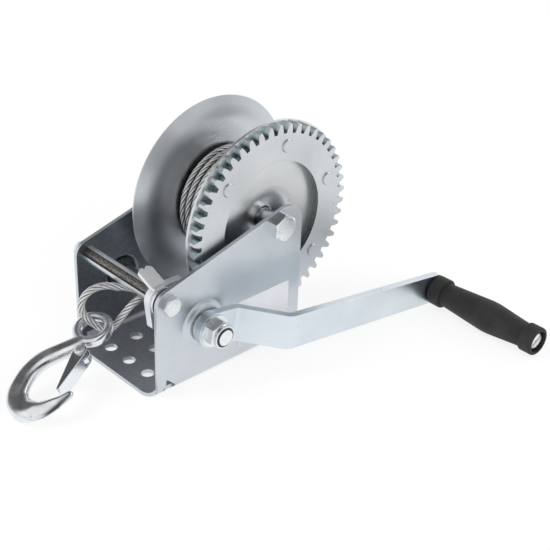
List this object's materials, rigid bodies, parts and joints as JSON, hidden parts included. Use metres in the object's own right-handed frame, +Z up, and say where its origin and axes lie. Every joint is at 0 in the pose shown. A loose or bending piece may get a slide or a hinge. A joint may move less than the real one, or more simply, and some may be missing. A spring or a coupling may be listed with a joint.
{
  "type": "hand winch",
  "caption": "Hand winch: zinc-plated bent frame, geared rope drum with wire rope and latched hook, ratchet pawl, and a joggled crank with a black grip.",
  "frame": {"origin": "centre of the frame's flat base, on its bottom face", "axes": "+Z up from the base, +X along the axles towards the crank, -Y towards the hook and the rope's way out"},
  "size_m": [0.256, 0.3556, 0.176],
  "materials": {
    "zinc_sheet": "bright zinc plate, satin",
    "zinc_bolt": "bright zinc plate",
    "zinc_gear": "bright zinc plate, stamped",
    "zinc_forged": "bright zinc plate on a forging",
    "spring_steel": "bright spring wire",
    "wire_rope": "galvanised wire strands",
    "ferrule_metal": "pressed, satin",
    "dark_bush": "oiled sintered metal",
    "nylon": "dark nylon",
    "black_grip": "black moulded plastic, slight sheen"
  },
  "bodies": {
    "frame": {"frame": "zinc_sheet", "drum_axle_bolt": "zinc_bolt", "drum_axle_washer": "zinc_bolt", "drum_axle_nut": "zinc_bolt", "spacer_bolt": "zinc_bolt", "spacer_nut": "zinc_bolt", "spacer_tube": "zinc_sheet", "pawl_sleeve": "zinc_sheet", "pawl_washer": "zinc_bolt", "pinion_bush_near": "dark_bush", "pinion_bush_far": "dark_bush", "rope_lead": "wire_rope", "rope_ferrule": "ferrule_metal", "hook": "zinc_forged", "latch_rivet": "zinc_bolt", "latch_spring": "spring_steel"},
    "drum": {"drum_far_half": "zinc_sheet", "drum_near_half": "zinc_sheet", "drum_sleeve": "zinc_bolt", "drum_gear": "zinc_gear", "gear_rivets": "zinc_bolt", "rope_core": "wire_rope", "rope_winding": "wire_rope"},
    "crank": {"pinion_shaft": "zinc_bolt", "shaft_clip": "spring_steel", "pinion_gear": "zinc_gear", "thrust_washer": "zinc_bolt", "crank_arm": "zinc_sheet", "crank_washer": "zinc_bolt", "crank_nut": "zinc_bolt", "crank_nut_ring": "nylon", "grip_bolt": "zinc_bolt", "grip_nut": "zinc_bolt"},
    "grip": {"grip": "black_grip"},
    "pawl": {"pawl": "zinc_gear"},
    "latch": {"hook_latch": "zinc_sheet"}
  },
  "joints": [
    {"name": "drum_spin", "type": "hinge", "parent": "frame", "child": "drum", "pos_m": [0, 0.048, 0.1005], "axis": [1, 0, 0], "continuous": true},
    {"name": "crank_spin", "type": "hinge", "parent": "frame", "child": "crank", "pos_m": [0, -0.02394, 0.04609], "axis": [1, 0, 0], "continuous": true},
    {"name": "grip_spin", "type": "hinge", "parent": "crank", "child": "grip", "pos_m": [0.14, 0.18471, 0.01342], "axis": [1, 0, 0], "continuous": true},
    {"name": "pawl_tilt", "type": "hinge", "parent": "frame", "child": "pawl", "pos_m": [0.0365, -0.054, 0.0735], "axis": [1, 0, 0], "range_deg": [-8, 8]},
    {"name": "latch_swing", "type": "hinge", "parent": "frame", "child": "latch", "pos_m": [0.00441, -0.09758, 0.02843], "axis": [-0.0772, 0.3633, -0.9285], "range_deg": [0, 38], "stiffness_Nm_per_rad": 0.03, "springref_deg": -17.19}
  ],
  "couplings": [
    {"joint": "crank_spin", "follows": "drum_spin", "ratio": -4}
  ]
}
